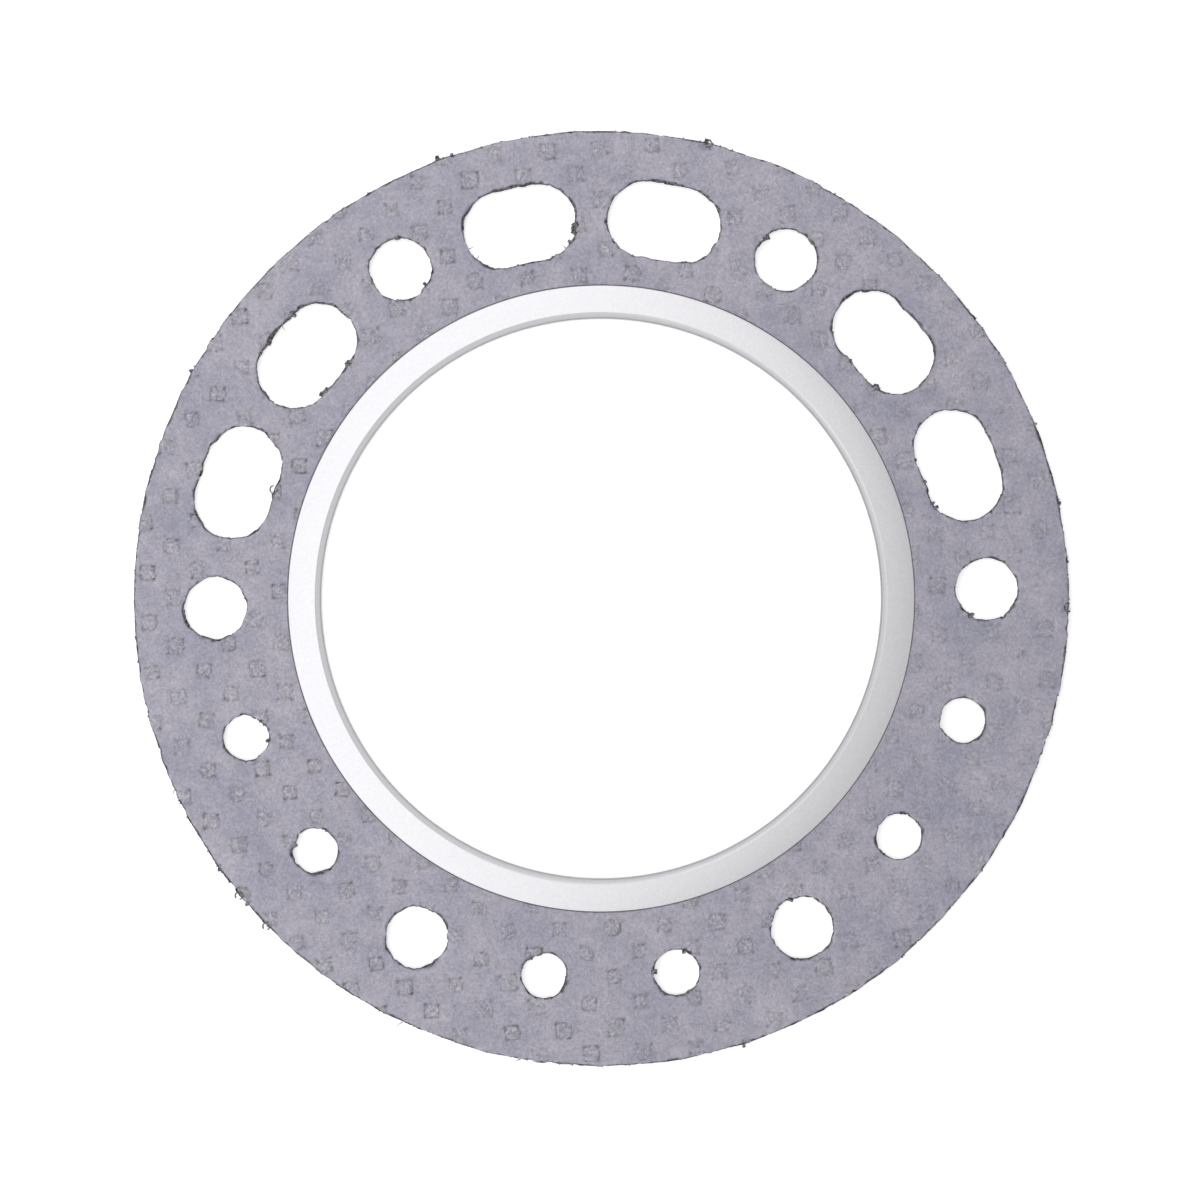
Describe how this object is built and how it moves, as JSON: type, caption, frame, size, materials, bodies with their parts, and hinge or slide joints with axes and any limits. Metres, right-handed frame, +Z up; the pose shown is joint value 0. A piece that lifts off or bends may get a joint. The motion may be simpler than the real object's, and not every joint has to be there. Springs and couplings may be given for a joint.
{
  "type": "cylinder head gasket",
  "caption": "Round composite head gasket with a tanged steel core, a folded fire ring at the bore, stud holes, and arc-shaped and round coolant holes.",
  "frame": {"origin": "on the axis of the cylinder bore, at the lower face of the fire ring, on which the gasket lies", "axes": "+Z up along the bore axis; +Y along the symmetry axis of the hole pattern, towards the coolant slots"},
  "size_m": [0.196, 0.196, 0.0019],
  "materials": {
    "eyelet_steel": "satin",
    "facing_fibre": "matte",
    "core_steel": "satin"
  },
  "bodies": {
    "root": {"fire_ring": "eyelet_steel", "upper_facing": "facing_fibre", "tanged_core": "core_steel", "lower_facing": "facing_fibre"}
  },
  "joints": []
}
